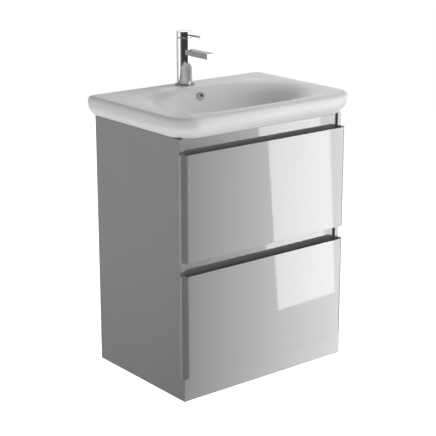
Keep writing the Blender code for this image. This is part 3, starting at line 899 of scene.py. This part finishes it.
# The white floor's brightness in reflections, and its share of the mix.
UNDERFOOT = 1.25
SINK = [(-1, 1), (-0.60, 1), (-0.48, 0), (1, 0)]


def make_world():
    """White behind the object, and a horizon, sky and floor that only its surfaces see."""
    world = bpy.data.worlds.new("studio")
    bpy.context.scene.world = world
    world.use_nodes = True
    tree = world.node_tree
    tree.nodes.clear()
    output = tree.nodes.new("ShaderNodeOutputWorld")
    shader = tree.nodes.new("ShaderNodeBackground")
    tree.links.new(shader.outputs[0], output.inputs[0])
    direction = parts_of(tree, "Generated")
    forwards = maths(tree, "MULTIPLY", direction["Y"], -1)
    angle = maths(tree, "DEGREES", maths(tree, "ARCTAN2", direction["X"], forwards), 0)
    ring = stepped(tree, angle, HORIZON, -180, 180)
    rise, fall, sink = (stepped(tree, direction["Z"], stops, -1, 1) for stops in (RISE, FALL, SINK))
    colour = mixed(tree, 1.0, ring, fall, "MULTIPLY")
    colour = mixed(tree, sink, colour, (*grey(UNDERFOOT), 1))
    colour = mixed(tree, rise, colour, (*grey(OVERHEAD), 1))
    rays = tree.nodes.new("ShaderNodeLightPath")
    colour = mixed(tree, rays.outputs["Is Camera Ray"], colour, (1, 1, 1, 1))
    tree.links.new(colour, shader.inputs["Color"])


def plane(name, corners, material):
    """A flat part of the studio, which isn't part of the object."""
    shape = bmesh.new()
    shape.faces.new([shape.verts.new(c) for c in corners])
    mesh = bpy.data.meshes.new(name)
    shape.to_mesh(mesh)
    shape.free()
    mesh.materials.append(material)
    made = bpy.data.objects.new(name, mesh)
    bpy.context.scene.collection.objects.link(made)
    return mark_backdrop(made) or made


def card(name, corners, build):
    """A card that lights by reflection alone, and isn't seen itself."""
    made = plane(name, corners, emission(name, build))
    made.visible_camera = False
    made.visible_diffuse = False
    made.visible_shadow = False
    made.visible_transmission = False


def graded(stops, low, high):
    """The build of an emission whose brightness follows stops of (X, share) from low to high X."""

    def build(tree, shader):
        across = parts_of(tree, "Object")["X"]
        tree.links.new(stepped(tree, across, stops, low, high), shader.inputs["Color"])
        shader.inputs["Strength"].default_value = CARD_GLOW

    return build


def even(tree, shader):
    """The build of an emission of one brightness."""
    shader.inputs["Strength"].default_value = BACK_GLOW


CARD_Y = -1.405  # the gradient card stands before the cabinet, facing it
STRIP_Y = CARD_Y + 0.01
BACK_Y = 1.5
CARD_GLOW = 7.1
BACK_GLOW = 1.35
FLOOR_GLOW = 0.95
FLOOR_REACH = 3.2


def make_studio():
    """White floor, the world, and the cards that the gloss surfaces show."""
    make_world()
    floor_shade = Shade("floor_paper", grey(0.85), 0.9)
    floor_shade.tint(floor_shade.noise(3, 3), 0.01)
    floor_shade.set(Emission_Color=(1, 1, 1, 1), Emission_Strength=FLOOR_GLOW)
    reach = FLOOR_REACH
    corners = [(-reach, -reach, 0), (reach, -reach, 0), (reach, reach, 0), (-reach, reach, 0)]
    floor = plane("floor", corners, floor_shade.material)
    floor.visible_diffuse = False
    floor.visible_glossy = False
    floor.visible_shadow = False
    corners = [(0.40, -0.9), (2.3, -0.9), (2.3, 1.4), (0.40, 1.4)]
    glow = graded([(0.34, 0.0), (1.9, 0.90)], 0.3, 1.9)
    card("gradient_card", [(x, CARD_Y, z) for x, z in corners], glow)
    corners = [(1.090, -0.390), (1.420, -0.380), (1.325, 0.9), (0.975, 0.9)]
    glow = graded([(1.0, 0.71), (1.5, 0.93)], 1.0, 1.5)
    card("strip_softbox", [(x, STRIP_Y, z) for x, z in corners], glow)
    corners = [(0.35, 1.25), (1.95, 1.25), (1.95, 1.80), (0.35, 1.80)]
    card("back_card", [(x, BACK_Y, z) for x, z in corners], even)


def area_light(name, place, target, size, energy):
    """A soft light that is seen neither directly nor in reflections."""
    data = bpy.data.lights.new(name, "AREA")
    data.shape = "RECTANGLE"
    data.size, data.size_y = size
    data.energy = energy
    made = bpy.data.objects.new(name, data)
    made.location = place
    made.rotation_euler = (Vector(target) - Vector(place)).to_track_quat("-Z", "Y").to_euler()
    bpy.context.scene.collection.objects.link(made)
    made.visible_camera = False
    made.visible_glossy = False


make_studio()
area_light("right_key", (1.75, -0.35, 2.05), (0.0, 0.05, 0.75), (0.8, 0.8), 21)
area_light("front_fill", (-0.3, -3.0, 1.1), (0.0, 0.0, 0.6), (2.4, 1.2), 14)
area_light("left_fill", (-1.35, 0.05, 0.72), (-0.3, 0.02, 0.70), (0.5, 0.3), 0.9)


# ---------------------------------------------------------------- camera

TARGET = Vector((0.054, 0.094, 0.412))
DISTANCE = 4.0
YAW, PITCH = math.radians(38.54), math.radians(16.32)
LENS, SENSOR = 107.4, 36
CLIP_END = 50

camera = bpy.data.objects.new("camera", bpy.data.cameras.new("camera"))
camera.data.lens = LENS
camera.data.sensor_width = SENSOR
camera.data.clip_end = CLIP_END
level = math.cos(PITCH)
away = Vector((-math.sin(YAW) * level, -math.cos(YAW) * level, math.sin(PITCH)))
camera.location = TARGET + away * DISTANCE
camera.rotation_euler = (-away).to_track_quat("-Z", "Y").to_euler()
bpy.context.scene.collection.objects.link(camera)
bpy.context.scene.camera = camera
bpy.context.scene.view_settings.view_transform = "Standard"
